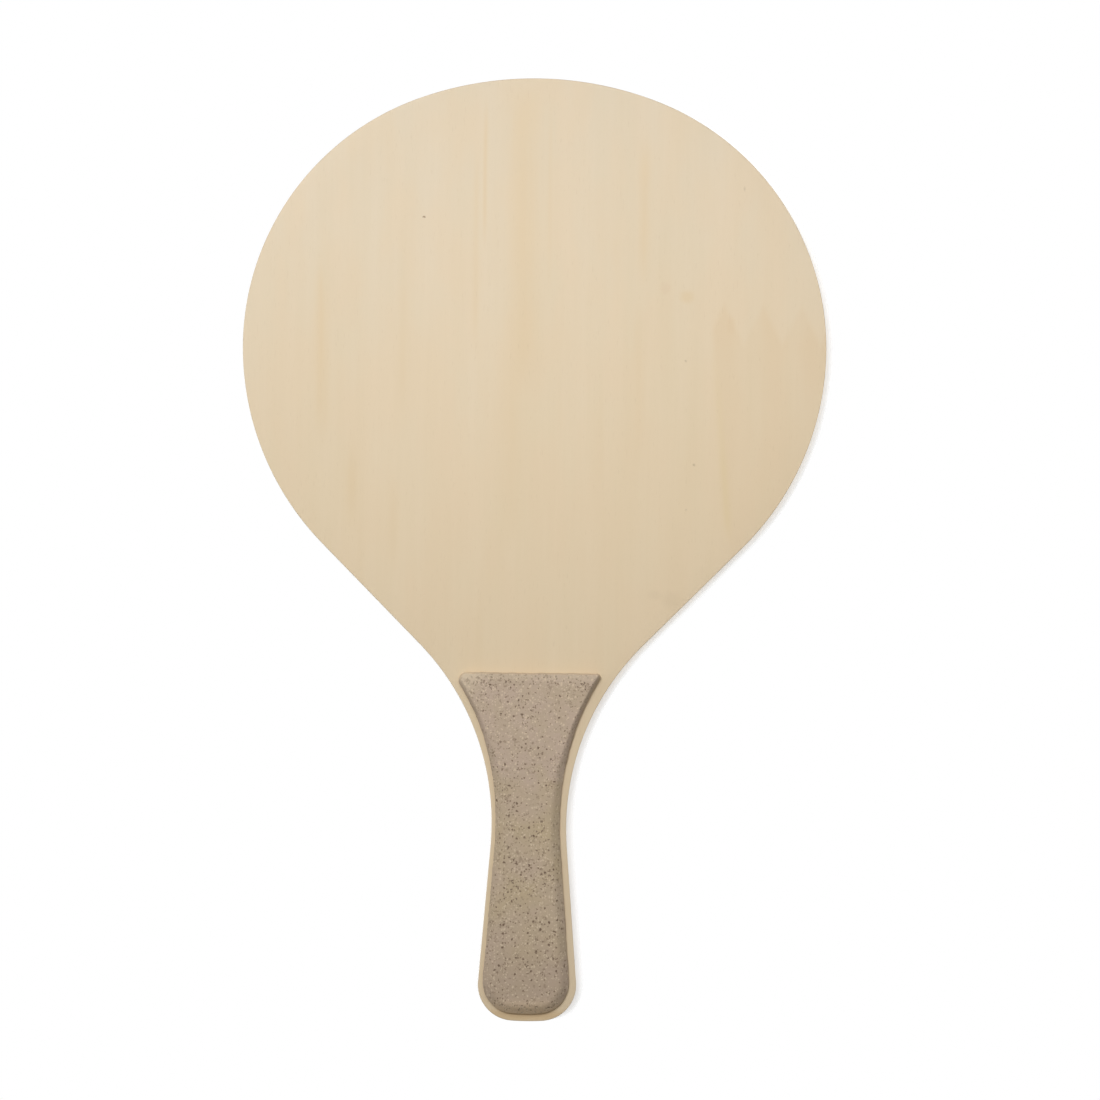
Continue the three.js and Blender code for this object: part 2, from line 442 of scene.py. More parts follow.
def inside(ring, loop, columns, head, relief, outwards):
    """The points of a face within its border, as rows of P(i, j).
    P(i, j) = right(i) + (left(i) - right(i)) j / columns. Under a straight top edge the columns
    are spaced like the edge's own points, and the rows follow its waves less and less."""
    right, left, y = ring
    first = right[head + 1:-1, None, :]
    last = left[head + 1:-1, None, :]
    share = np.arange(1, columns) / columns
    if head:
        crest = loop[np.arange(-head, head + 1) % len(loop)]
        share = (crest[-1, 0] - crest[-2:0:-1, 0]) / (crest[-1, 0] - crest[0, 0])
    place = first + (last - first) * share[None, :, None]
    if head:
        height = np.interp(place[..., 0], crest[:, 0], crest[:, 2])
        level = np.interp(place[..., 0], crest[[0, -1], 0], crest[[0, -1], 2])
        near = np.clip(1 - (level - place[..., 1]) / crest_reach, 0, 1)
        place[..., 1] += (height - level) * near
    x, z = place[..., 0], place[..., 1]
    depth = np.full(x.shape, y)
    if relief is not None:
        to_side = np.abs(last - first)[..., 0] * np.minimum(share, 1 - share)[None, :]
        to_end = np.minimum(right[0, 1] - z, z - right[-1, 1])
        rim = np.clip(np.minimum(to_side, to_end) / rim_width, 0, 1)
        depth = depth + outwards * relief(x, z, rim)
    return np.stack([x, depth, z], -1)


def walls(around, rings):
    """The faces that join point k of each ring to point k of the next one."""
    start = np.arange(around)
    after = (start + 1) % around
    wall = np.stack([start, after, after + around, start + around], 1)
    return [wall + around * k for k in range(rings - 1)]


def slab(name, rings, columns, relief=None, relief_side=1, head=0):
    """A closed solid through rings, taken from the lowest y to the highest.
    A ring is (right, left, y): the points down its right half, those down its left half, and
    its depth. A face is a grid of rows from the right half to the left, closed by triangles at
    its ends. Where the top edge is straight, its first `head` points on each side are the
    grid's first row instead.
    relief(x, z, rim) may raise the face on one side, -1 for the lowest y and 1 for the
    highest, where rim is 0 at the border and grows to 1 a few millimetres in."""
    rings = sorted(rings, key=lambda ring: ring[2])
    rows = len(rings[0][0])
    columns = 2 * head or columns
    around = 2 * rows - 2
    loops = []
    for right, left, y in rings:
        loop = np.concatenate([right, left[-2:0:-1]])
        loops.append(np.stack([loop[:, 0], np.full(around, y), loop[:, 1]], 1))
    quads = walls(around, len(rings))
    points = [np.concatenate(loops)]
    triangles = []
    count = around * len(rings)
    for k, outwards in ((0, -1), (len(rings) - 1, 1)):
        raised = relief if outwards == relief_side else None
        filling = inside(rings[k], loops[k], columns, head, raised, outwards)
        points.append(filling.reshape(-1, 3))
        down_rows, across = filling.shape[:2]
        side = np.arange(head + 1, rows - 1)
        border = np.arange(head, -head - 1, -1) % around
        grid = np.empty((down_rows + 2, across + 2), int)
        grid[0] = k * around + border if head else k * around
        grid[-1] = k * around + rows - 1
        grid[1:-1, 0] = k * around + side
        grid[1:-1, -1] = k * around + around - side
        grid[1:-1, 1:-1] = count + np.arange(down_rows * across).reshape(down_rows, across)
        count += down_rows * across
        a, b, c, d = grid[:-1, :-1], grid[:-1, 1:], grid[1:, 1:], grid[1:, :-1]
        face = np.stack([a, b, c, d], -1)
        quads.append(face[0 if head else 1:-1].reshape(-1, 4)[:, ::-outwards])
        triangles.append(np.stack([a[-1], b[-1], c[-1]], -1)[:, ::-outwards])
        if not head:
            triangles.append(np.stack([a[0], c[0], d[0]], -1)[:, ::-outwards])
    faces = np.concatenate(quads).tolist() + np.concatenate(triangles).tolist()
    mesh = bpy.data.meshes.new(name)
    mesh.from_pydata(np.concatenate(points).tolist(), [], faces)
    mesh.shade_smooth()
    mesh.set_sharp_from_angle(angle=sharp_edge)
    return placed(name, mesh)


def measure(piece):
    """Prints a piece's triangles and volume, the sum of a . (b x c) / 6 over its triangles."""
    mesh = piece.data
    mesh.calc_loop_triangles()
    points = np.empty(len(mesh.vertices) * 3)
    mesh.vertices.foreach_get("co", points)
    corners = np.empty(len(mesh.loop_triangles) * 3, int)
    mesh.loop_triangles.foreach_get("vertices", corners)
    a, b, c = points.reshape(-1, 3)[corners].reshape(-1, 3, 3).swapaxes(0, 1)
    volume = np.einsum("ij,ij->i", a, np.cross(b, c)).sum() / 6
    print(f"{piece.name}: {len(corners) // 3} triangles, {volume * 1e6:.2f} cm3")


# %% [markdown]
# ## The white surface behind the racket
#
# In the picture the racket lies on a white surface, and was cut out of it closely, so that a
# narrow strip of its soft shadow is left along the right edges and plain white is all around.
# A single plane can't lie behind the racket for the picture and for a view of its back, so
# there are two, one just behind each pad. Each is the racket's own outline moved out by a few
# millimetres and is seen from its own side only. It takes shadows, glows for the camera and for
# reflections, and neither shades nor colours the racket. How much of it shows is kept as a
# number at each point of the mesh: all of it under the racket, and less and less outwards,
# within half a millimetre on the left and three on the right.


# %% The white surface behind the racket
moved_out = np.array([0, 0.0004, 0.0008, 0.0013, 0.0018, 0.0024, 0.0032])
least_reach = 0.0005
most_reach = 0.0032
handle_share = 0.78
handle_from, handle_to = 0.14, 0.11
facing_gain, facing_start = 1.6, 0.35
surface_colour = (0.845, 0.865, 0.895)
surface_glow = 0.36


def backdrop(name, depth):
    """A sheet at y = depth that faces away from the racket's other side.
    Its points are the board's outline moved out by d. What shows is m (1 - (d / w)^2).
    w goes from the least reach at the left to the most where the outline faces right, and m
    goes from 1 at the blade to the handle's share."""
    out = 1 if depth > 0 else -1
    steps = steps_along(board_outline, spacing=0.004, turn=math.radians(5))
    halves = [trace(board_outline, -d, steps) for d in moved_out]
    loops = [np.concatenate([half * (out, 1), half[-2:0:-1] * (-out, 1)]) for half in halves]
    around = len(loops[0])
    points = [np.stack([p[:, 0], np.full(around, depth), p[:, 1]], 1) for p in loops]
    along = np.roll(loops[0], -1, 0) - np.roll(loops[0], 1, 0)
    facing = -along[:, 1] / np.hypot(along[:, 0], along[:, 1])
    rightwards = np.clip(facing * facing_gain - facing_start, 0, 1)
    reach = least_reach + (most_reach - least_reach) * rightwards
    lower = np.clip((handle_from - loops[0][:, 1]) / (handle_from - handle_to), 0, 1)
    most = 1 - (1 - handle_share) * lower
    shown = np.clip(1 - (moved_out[:, None] / reach[None, :]) ** 2, 0, 1)
    shown = (shown * most[None, :]).ravel()
    quads = np.concatenate(walls(around, len(moved_out))).tolist()
    faces = [list(range(around))[::-1]] + quads
    mesh = bpy.data.meshes.new(name)
    mesh.from_pydata(np.concatenate(points).tolist(), [], faces)
    kept = mesh.attributes.new("shown", "FLOAT", "POINT")
    kept.data.foreach_set("value", shown)
    sheet = placed(name, mesh)
    sheet.visible_shadow = False
    sheet.visible_diffuse = False
    return sheet


def backdrop_material():
    """White paint that glows for the camera, seen from its front only, where it is kept."""
    material = bpy.data.materials.new("white_surface")
    tree = emptied(material)
    paint = put(tree, "BsdfDiffuse", {"Color": surface_colour})
    glow = put(tree, "Emission", {"Strength": times(seen_directly(tree), surface_glow)})
    lit = put(tree, "AddShader", {0: paint.outputs[0], 1: glow.outputs[0]})
    kept = put(tree, "Attribute", attribute_name="shown").outputs["Fac"]
    from_behind = put(tree, "NewGeometry").outputs["Backfacing"]
    hidden = calc("MAXIMUM", minus(1, kept), from_behind)
    clear = put(tree, "BsdfTransparent")
    both = put(tree, "MixShader", {0: hidden, 1: lit.outputs[0], 2: clear.outputs[0]})
    put(tree, "OutputMaterial", {"Surface": both.outputs[0]})
    return material


white_surface = backdrop_material()
behind_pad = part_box("back_grip_pad")[1].y + 0.0001
for name, depth in (("surface_behind", behind_pad), ("surface_before", -behind_pad)):
    backdrop(name, depth).data.materials.append(white_surface)
print(f"white surfaces at y = +-{behind_pad:.5f}")

# %% [markdown]
# ## The board's layers
#
# The board is plywood: a core and two face veneers whose grain runs along the handle, and two
# crossbands between them whose grain runs across, with a thin dark line of glue at each joint.
# The layers show only at the edge, where sanding leaves the softer ones a few hundredths of a
# millimetre lower, so their walls are dished by a parabola. The face veneers end in a sanded
# quarter round.

# %% The board's layers
stands_for = []


def stand_for(piece, node, slot):
    """Notes the CAD node whose place a piece takes, and the record's name of its finish."""
    stands_for.append((piece, node, slot))
    measure(piece)
    return piece


board_steps = steps_along(board_outline, spacing=0.0015, turn=math.radians(2.5))
edge_round = 0.0003
round_steps = 6
core_dish = 0.00003
cross_dish = 0.00004
dish_steps = 4
layer_columns = 6
face_columns = 16


def depths(node):
    """The side that a CAD solid lies on, 1 or -1, and how deep its two faces lie there."""
    low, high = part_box(node)
    near, far = sorted((abs(low.y), abs(high.y)))
    return (1 if low.y > 0 else -1), near, far


def board_ring(inset, y):
    """A ring of the board's outline, moved in by inset, at depth y."""
    right = trace(board_outline, inset, board_steps)
    return right, right * (-1, 1), y


def layer(name, node, slot, dish=0.0):
    """A layer whose wall is dished: inset = 4 dish t (1 - t) as t goes from face to face."""
    low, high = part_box(node)
    shares = np.linspace(0, 1, dish_steps + 1 if dish else 2)
    rings = [board_ring(4 * dish * t * (1 - t), low.y + (high.y - low.y) * t) for t in shares]
    return stand_for(slab(name, rings, layer_columns), node, slot)


def face_veneer(name, node):
    """A veneer, square where it is glued and rounded at its face.
    On the round the inset is r (1 - cos a) and the depth is r sin a, for a from 0 to 90
    degrees."""
    out, glued, face = depths(node)
    rings = [board_ring(0, out * glued)]
    for a in np.linspace(0, down, round_steps + 1):
        depth = face - edge_round + edge_round * math.sin(a)
        rings.append(board_ring(edge_round * (1 - math.cos(a)), out * depth))
    return stand_for(slab(name, rings, face_columns), node, "face_wood")


front_veneer = face_veneer("front_veneer", "front_face_veneer")
back_veneer = face_veneer("back_veneer", "back_face_veneer")
layer("core", "core_ply", "core_wood", core_dish)
for side in ("front", "back"):
    layer(f"{side}_crossband", f"{side}_cross_ply", "cross_wood", cross_dish)
    layer(f"{side}_outer_glue", f"{side}_veneer_glue", "glue")
    layer(f"{side}_inner_glue", f"{side}_core_glue", "glue")

# %% [markdown]
# ## The grip pads
#
# A pad is a firm slab of rubber and cork, four millimetres thick, stuck on with a thin film. It
# has a low upright wall and an edge that rolls over, except at its upper end, which is cut. It
# keeps its form, so it is built as a slab and not as a cushion. Pads are stamped out and laid
# on by hand: the upper end sits nearly a millimetre to the left, one upper corner is rounder
# than the other, the roll narrows towards both, the edge wavers by a tenth of a millimetre and
# the top is not quite flat. Those small faults are added on top of the exact outline.

# %% The grip pads' outline
pad_reach = 0.0613  # from the waist up to the pad's top edge
pad_waist_run = 0.0047
pad_side_rim = 0.00185
pad_end_rim = 0.0025
pad_slope = 0.93
pad_bevel = 0.0018
pad_roll = 0.0042  # how far in the rolled edge reaches
top_share = 0.14  # the top edge is cut nearly square, so its roll is this share of the sides'
butt_share = 1.05
corner_share = 0.33  # how much of the inset the upper corners' radius loses


def pad_outline(corner_radius):
    """A pad's outline as a function of the inset, for one radius of its upper corner."""

    def outline(inset):
        half_waist = waist_width / 2 - pad_side_rim - inset
        corner = corner_radius - inset * corner_share
        neck = neck_radius + inset
        rise = pad_reach - pad_waist_run - inset * top_share
        side_heading = math.acos((corner - rise) / (corner + neck))
        sides = [arc(side_heading, corner), arc(down, neck)]
        drop = waist_height - pad_end_rim - inset * butt_share
        end = handle_end(half_waist, drop, pad_side_rim + inset)
        top_edge = straight(half_waist - travel(sides, 0)[0])
        height = waist_height + pad_reach - inset * top_share
        return height, [top_edge, *sides, straight(pad_waist_run), *end]

    return outline


right_outline = pad_outline(0.0015)
left_outline = pad_outline(0.0032)
pad_steps = steps_along(left_outline, spacing=0.0010, turn=math.radians(6))


def ripple(along, waves, seed):
    """A sum of sines with wavelengths from waves and fixed random phases, between -1 and 1."""
    phases = np.random.default_rng(seed).uniform(0, 2 * math.pi, len(waves))
    return sum(np.sin(2 * math.pi * along / w + p) for w, p in zip(waves, phases)) / len(waves)


def eased(z, heights, values):
    """Goes from each value to the next as z passes from its height to the next one's.
    Between two heights the share t is eased to t t (3 - 2 t), so there is no kink."""
    total = np.full(np.shape(z), float(values[0]))
    for low, high, first, last in zip(heights, heights[1:], values, values[1:]):
        t = np.clip((z - low) / (high - low), 0, 1)
        total = total + (last - first) * t * t * (3 - 2 * t)
    return total


# How far the pad's edge lies outside the even outline, in mm, at some heights in mm. Towards
# the upper corners the roll also gets narrower, by these shares of its width.
edge_heights = [0, 12, 20, 27, 42, 60, 80, 100, 115, 125, 134]
left_out = [-0.20, -0.10, 0.10, 0.00, 0.10, 0.15, 0.25, 0.60, 0.80, 0.90, 1.40]
right_out = [-1.20, -1.20, -1.05, -1.05, -0.90, -0.85, -0.90, -0.60, -0.50, -0.70, -0.75]
left_narrow = [0, 0, 0, 0, 0, 0, 0, 0, 0.50, 0.60, 0.64]
right_narrow = [0, 0, 0, 0, 0, 0, 0, 0.10, 0.42, 0.58, 0.66]

waver_height = 0.00012
waver_waves = (0.021, 0.0083, 0.0047)
sag_height = 0.00016
sag_waves = (0.034, 0.0115, 0.0062)
sag_from = 0.1  # the top edge's waves begin at this height, and are full a little higher
sag_over = 0.03
butt_lift = 0.0007
butt_lift_reach = 0.02
axis_reach = 0.006  # how near the axis what moves a side fades out


def laid_on(points, side, inset, seed):
    """Moves the points of an outline at some inset as a pad that is cut and laid on by hand.
    x gets what its side lies outside the even outline, the narrowed share of the inset and a
    ripple, all fading out at the axis. The top edge ripples, and the butt edge is lifted."""
    x, z = points[:, 0], points[:, 1]
    outs, narrows = (right_out, right_narrow) if side > 0 else (left_out, left_narrow)
    out = eased(z * 1000, edge_heights, outs) * millimetre
    out = out + inset * eased(z * 1000, edge_heights, narrows)
    waver = waver_height * ripple(z, waver_waves, seed)
    moved = side * (x + (out + waver) * np.clip(x / axis_reach, 0, 1))
    sag = sag_height * ripple(moved, sag_waves, 5) * np.clip((z - sag_from) / sag_over, 0, 1)
    lift = butt_lift * np.clip(1 - z / butt_lift_reach, 0, 1)
    return np.stack([moved, z + sag + lift], 1)


def pad_ring(inset, y, seed):
    """A ring of a pad's outline, moved in by inset, at depth y."""
    right = laid_on(trace(right_outline, inset, pad_steps), 1, inset, seed)
    left = laid_on(trace(left_outline, inset, pad_steps), -1, inset, seed + 1)
    middle = (right[[0, -1]] + left[[0, -1]]) / 2
    right[[0, -1]] = middle
    left[[0, -1]] = middle
    return right, left, y


print("pad steps:", pad_steps)


# %% The grip pads
hill_height = 0.00006
hill_drop = 0.00008  # keeps the hills under the rim, so the pad stays in its CAD box
hills_along = (0.031, 0.017, 0.0092)
hills_across = (0.026, 0.0125, 0.0071)
roll_steps = 10


def pad_relief(seed):
    """Hills and hollows over a pad's top, none at its rim."""

    def relief(x, z, rim):
        rise = ripple(z + 0.6 * x, hills_along, seed)
        cross = ripple(x - 0.3 * z, hills_across, seed + 1)
        faded = rim * rim * (3 - 2 * rim)
        return hill_height * (rise * 0.6 + cross * 0.5) * faded - hill_drop * rim

    return relief


def grip_pad(name, node, seed):
    """An upright wall, a bevel, and a parabola that flattens up to the top.
    At inset u the slope is s on the bevel, of width b, and s (w - u) / (w - b) from there to
    the roll's whole width w. The wall is what is left of the pad's height."""
    out, stuck, top = depths(node)
    curved = pad_roll - pad_bevel
    rings = [pad_ring(0, out * stuck, seed)]
    for inset in (0, pad_bevel / 2, *np.linspace(pad_bevel, pad_roll, roll_steps + 1)):
        left_over = min(pad_roll - inset, curved)
        below = pad_slope * (left_over ** 2 / (2 * curved) + max(pad_bevel - inset, 0))
        rings.append(pad_ring(inset, out * (top - below), seed))
    pad = slab(name, rings, 0, pad_relief(seed + 7), out, pad_steps[0])
    return stand_for(pad, node, "grip_pad")


def adhesive(name, node, seed):
    """The film under a pad, a tenth of a millimetre in from its edge."""
    rings = [pad_ring(0.1 * millimetre, corner.y, seed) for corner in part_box(node)]
    return stand_for(slab(name, rings, 0, head=pad_steps[0]), node, "adhesive_film")


for side, seed in (("front", 11), ("back", 31)):
    grip_pad(f"{side}_pad", f"{side}_grip_pad", seed)
    adhesive(f"{side}_tape", f"{side}_pad_adhesive", seed)

# %% [markdown]
# ## Shared effects
#
# Wood shows the same things on every layer: broad bands of slightly different colour, streaks
# a few millimetres wide, fine fibres, and short pores, all drawn out along the grain. Noise
# that is stretched along one direction gives each of them. Because it is worked out in space
# and not on a picture, the streaks run on from the face round the edge, as in a real board.
# One group makes them for every layer, and a few small ones make a single streak, a spot, the
# pointed figure of a flat-cut board, and the darker end grain.


# %% Grain
def drawn_out(place, across, along, detail, roughness=0.5):
    """Noise with features `across` metres wide and `along` metres long, along Z."""
    spread = vector("MULTIPLY", place, (1 / across, 1 / across, 1 / along))
    return noise(spread, 1, detail, roughness)


def used(tree, group, inputs):
    """What a node group gives out, placed in a tree."""
    return put(tree, "Group", inputs, node_tree=group).outputs


grain, takes, gives = new_group(
    "wood_grain",
    [("Vector", "Vector", (0, 0, 0)), ("Wander", "Float", 0.002)],
    [("Vector", "Vector"), ("Bands", "Float"), ("Streaks", "Float"), ("Fibres", "Float"),
     ("Pores", "Float"), ("Tint", "Float")],
)
bend = drawn_out(takes["Vector"], 0.060, 0.150, 2)
sway = times(minus(bend, 0.5), takes["Wander"])
sway = put(grain, "CombineXYZ", {"X": sway, "Y": sway}).outputs[0]
swayed = vector("ADD", takes["Vector"], sway)
elsewhere = vector("ADD", swayed, (3.1, 1.7, 5.3))
pores = drawn_out(swayed, 0.0004, 0.0035, 1)
link(swayed, gives["Vector"])
link(drawn_out(swayed, 0.024, 0.190, 2), gives["Bands"])
link(drawn_out(swayed, 0.0052, 0.085, 3), gives["Streaks"])
link(drawn_out(swayed, 0.0010, 0.030, 3, 0.6), gives["Fibres"])
link(ramp(pores, 0.66, 0.76), gives["Pores"])
link(drawn_out(elsewhere, 0.016, 0.045, 2), gives["Tint"])

# %% A streak, a spot, a pointed figure and end grain
streak, takes, gives = new_group(
    "single_streak",
    [("Vector", "Vector", (0, 0, 0)), ("Place", "Float", 0), ("Width", "Float", 0.003),
     ("Low", "Float", 0.2), ("High", "Float", 0.3), ("Strength", "Float", 1)],
    [("Mask", "Float")],
)
# The mask is exp(-(d / width)^2) across, times a slow rise and fall along.
parts = axes(takes["Vector"])
off = calc("DIVIDE", minus(parts["X"], takes["Place"]), takes["Width"])
bell = calc("EXPONENT", times(off, off, -1))
rise = ramp(minus(parts["Z"], takes["Low"]), -0.012, 0.012)
fall = ramp(minus(parts["Z"], takes["High"]), -0.012, 0.012, 1, 0)
link(times(bell, rise, fall, takes["Strength"]), gives["Mask"])

spot, takes, gives = new_group(
    "spot",
    [("Vector", "Vector", (0, 0, 0)), ("Centre", "Vector", (0, 0, 0)),
     ("Reach", "Vector", (1, 1, 1)), ("Strength", "Float", 1)],
    [("Mask", "Float")],
)
# The mask falls from 1 to 0 as the distance, in units of the reach, goes from 0.2 to 1.
off = vector("SUBTRACT", takes["Vector"], takes["Centre"])
off = vector("DIVIDE", off, takes["Reach"])
far = put(spot, "VectorMath", {0: off}, operation="LENGTH").outputs["Value"]
link(times(ramp(far, 0.2, 1, 1, 0), takes["Strength"]), gives["Mask"])

figure, takes, gives = new_group(
    "pointed_figure",
    [("Vector", "Vector", (0, 0, 0)), ("First Tip", "Float", 0.0762), ("Height", "Float", 0.291),
     ("Apart", "Float", 0.0156), ("Lean", "Float", 0.09), ("Notch", "Float", 0.016)],
    [("Heart", "Float"), ("Line", "Float")],
)
# Warmer heartwood fills what lies below a row of tips and to the right of a leaning line. The
# top is height - notch (d / half the distance between tips), d being the distance to a tip.
parts = axes(takes["Vector"])
drop = minus(takes["Height"], parts["Z"])
from_tip = minus(parts["X"], takes["First Tip"])
doubled = calc("DIVIDE", calc("ABSOLUTE", from_tip), takes["Apart"])
beside = calc("PINGPONG", doubled, 0.5)
cut = times(beside, 2, takes["Notch"])
under = ramp(minus(drop, cut), -0.002, 0.005)
leant = times(calc("MAXIMUM", drop, 0), takes["Lean"])
past = minus(plus(from_tip, 0.0058), leant)
right = ramp(past, -0.001, 0.0016)
deeper = ramp(drop, 0.0, 0.05, 1, 0.55)
link(times(under, right, deeper), gives["Heart"])
thin = calc("DIVIDE", past, 0.0015)
line = calc("EXPONENT", times(thin, thin, -1))
started = ramp(drop, 0.008, 0.05, 0, 0.4)
more = ramp(drop, 0.055, 0.07, 1, 1.8)
ended = ramp(drop, 0.085, 0.10, 1, 0)
link(times(line, started, more, ended), gives["Line"])

end_grain, takes, gives = new_group(
    "end_grain", [("Grain Axis", "Vector", (0, 0, 1))], [("Mask", "Float")]
)
# The mask is the square of the cosine between the surface and the grain.
facing = put(end_grain, "TexCoord").outputs["Normal"]
cosine = put(end_grain, "VectorMath", {0: facing, 1: takes["Grain Axis"]}, operation="DOT_PRODUCT")
square = calc("POWER", calc("ABSOLUTE", cosine.outputs["Value"]), 2)
link(square, gives["Mask"])
print("groups:", ", ".join(g.name for g in bpy.data.node_groups))

# %% [markdown]
# ## The face veneers
#
# The faces are a pale, even wood such as poplar or basswood, sanded and sealed with a thin
# satin coat. From a distance it is one cream colour, but close up there are faint warm bands
# down the middle, thin darker streaks, a small pin knot, a few brown flecks, and on the right
# the pointed figure that a flat-cut board shows. The general grain comes from the group. What
# belongs to this board alone is placed: each streak, spot and figure has its own spot on the
# blade, in the board's own lengths, so it stays there from every side. Two marks are painted
# light and shade: the faces turn a little cooler towards the upper left, a painted cool light,
# and a broad brown spot just below the front pad's lower end is painted shade in the crease.

# %% The face veneers
wood_colour = (0.733, 0.600, 0.413)


def tinted(colour, factors):
    """A colour with each channel times its own factor."""
    return tuple(c * f for c, f in zip(colour, factors))


def wood(name, colour, shift, turned, streaks=(), spots=(), pointed=False, strength=1.0,
         end_share=0.3, coat=0.0, drift=None):
    """A wood finish. Its grain runs along Z, or along X where it is turned.
    The base colour goes from a darker, warmer tone to a paler one with the sum of bands,
    streaks and fibres, and then single features are laid over it."""
    constants = {"IOR": 1.45, "Coat_Weight": coat, "Coat_Roughness": 0.45}
    material, tree, shader, place = new_material(name, **constants)
    turn = (0, down, 0) if turned else (0, 0, 0)
    along = put(tree, "Mapping", {"Vector": place, "Location": shift, "Rotation": turn}).outputs[0]
    fibre = used(tree, grain, {"Vector": along})
    sums = [times(minus(fibre[part], 0.5), weight * strength)
            for part, weight in (("Bands", 0.75), ("Streaks", 0.55), ("Fibres", 0.40))]
    tone = calc("ADD", plus(*sums), 0.5, clamp=True)
    pale = tinted(colour, (1.035, 1.042, 1.085))
    deep = tinted(colour, (0.965, 0.958, 0.915))
    shade = mix(tone, deep, pale)
    # Where drift is given, the colour turns cooler towards the upper left: a painted cool light.
    if drift:
        parts = axes(place)
        up = minus(parts["Z"], times(parts["X"], 0.2))
        shade = mix(1.0, shade, mix(ramp(up, 0.18, 0.38), *drift), "MULTIPLY")
    tint = times(ramp(fibre["Tint"], 0.35, 0.65), 0.35)
    rosy = mix(tone, tinted(colour, (0.99, 0.945, 0.92)), tinted(colour, (1.03, 1.0, 0.99)))
    shade = mix(tint, shade, rosy)
    at = vector("SUBTRACT", vector("ADD", place, fibre["Vector"]), along)
    masks = []
    for x, low, high, width, weight in streaks:
        inputs = {"Vector": at, "Place": x * millimetre, "Width": width * millimetre,
                  "Low": low * millimetre, "High": high * millimetre, "Strength": weight}
        masks.append(used(tree, streak, inputs)[0])
    if masks:
        broken = ramp(fibre["Streaks"], 0.3, 0.62, 0.45, 1.25)
        shown = calc("MULTIPLY", plus(*masks), broken, clamp=True)
        shade = mix(shown, shade, tinted(colour, (0.955, 0.91, 0.82)))
    if pointed:
        shown = used(tree, figure, {"Vector": at})
        heart = times(shown["Heart"], ramp(fibre["Tint"], 0.35, 0.62, 0.35, 0.65))
        shade = mix(heart, shade, tinted(colour, (0.965, 0.925, 0.875)))
        shade = mix(shown["Line"], shade, tinted(colour, (0.97, 0.945, 0.83)))
    near = unsettled(place, 900, 0.0012)
    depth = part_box("front_face_veneer")[0].y
    for (x, z), (wide, tall), weight, brown in spots:
        inputs = {"Vector": near, "Centre": (x * millimetre, depth, z * millimetre),
                  "Reach": (wide * millimetre, 0.002, tall * millimetre), "Strength": weight}
        shade = mix(used(tree, spot, inputs)[0], shade, brown)
    shade = mix(times(fibre["Pores"], 0.10), shade, tinted(colour, (0.62, 0.52, 0.40)))
    axis = (1, 0, 0) if turned else (0, 0, 1)
    ends = times(used(tree, end_grain, {"Grain Axis": axis})[0], end_share)
    shade = mix(ends, shade, tinted(colour, (0.60, 0.50, 0.38)))
    rough = plus(ramp(fibre["Fibres"], 0.3, 0.7, 0.52, 0.62), ends)
    height = minus(fibre["Fibres"], times(fibre["Pores"], 0.6))
    finish(shader, shade, rough, height, 0.25, 0.00008)
    return material


# Streaks as (x, lowest z, highest z, half width, strength), in millimetres.
front_streaks = [
    (-85.7, 238, 303, 2.6, 0.55),
    (-73.0, 203, 228, 2.6, 0.45),
    (-53.0, 250, 300, 1.6, 0.25),
    (-24.0, 278, 346, 1.4, 0.30),
    (-20.6, 318, 365, 0.9, 0.50),
    (-4.5, 262, 374, 6.5, 0.42),
    (5.6, 300, 368, 1.0, 0.28),
    (-9.0, 196, 262, 5.0, 0.25),
    (43.8, 302, 352, 2.4, 0.40),
    (42.0, 226, 285, 2.0, 0.22),
    (26.5, 222, 252, 1.6, 0.25),
    (-56.0, 186, 214, 2.2, 0.25),
    (-21.0, 143, 165, 1.8, 0.22),
]
# Spots as ((x, z), (half width, half height), strength, colour), in millimetres.
front_spots = [
    ((61.2, 292.6), (4.2, 3.8), 0.42, (0.69, 0.52, 0.29)),
    ((52.5, 296.0), (3.0, 3.6), 0.16, (0.62, 0.42, 0.27)),
    ((56.6, 170.4), (6.5, 5.0), 0.16, (0.52, 0.41, 0.27)),
    ((49.5, 172.4), (4.0, 3.0), 0.14, (0.52, 0.41, 0.27)),
    ((79.0, 281.5), (2.6, 5.5), 0.30, (0.69, 0.52, 0.32)),
    ((-45.2, 323.6), (0.75, 0.75), 0.95, (0.30, 0.20, 0.11)),
    ((61.1, 266.8), (0.75, 0.75), 0.38, (0.36, 0.25, 0.14)),
    ((64.8, 225.0), (0.7, 0.8), 0.42, (0.33, 0.23, 0.13)),
    ((61.8, 206.8), (0.6, 0.6), 0.25, (0.36, 0.26, 0.15)),
    ((84.0, 336.4), (0.5, 1.6), 0.28, (0.36, 0.26, 0.15)),
    # The last spot, broad and brown just below the front pad's lower end, is painted shade in the
    # crease between the pad and the board.
    ((0, 2.4), (32, 3.6), 0.62, (0.58, 0.40, 0.20)),
]
# A painted cool light: the faces turn cooler towards the upper left.
painted_cool_light = ((1.0, 1.0, 0.995), (0.962, 0.995, 1.065))
back_shift = (0.31, 0.2, 0.57)
front_wood = wood("front_veneer_wood", wood_colour, (0, 0, 0), False, front_streaks, front_spots,
                  True, coat=0.15, drift=painted_cool_light)
back_wood = wood("back_veneer_wood", wood_colour, back_shift, False, coat=0.15, drift=painted_cool_light)
front_veneer.data.materials.append(front_wood)
back_veneer.data.materials.append(back_wood)
print("front face:", len(front_streaks), "streaks,", len(front_spots), "spots")

# %% [markdown]
# ## The inner layers, the glue and the film
#
# Only their edges show. The crossbands end at the board's sides, so there they show end grain,
# which drinks the sealer and looks darker, while the core shows long grain: that is what makes
# plywood's stripes. The glue lines are dark brown and a little shiny, with thick and thin
# places, and the film under the pads is a milky tape.

# %% The inner layers, the glue and the film
cross_wood = wood("crossband_wood", (0.65, 0.495, 0.305), (0.1, 0.4, 0.2), True, end_share=0.22,
                  strength=1.6)
core_wood = wood("core_wood", (0.76, 0.615, 0.425), (0.7, 0.1, 0.9), False, end_share=0.2,
                 strength=1.4)


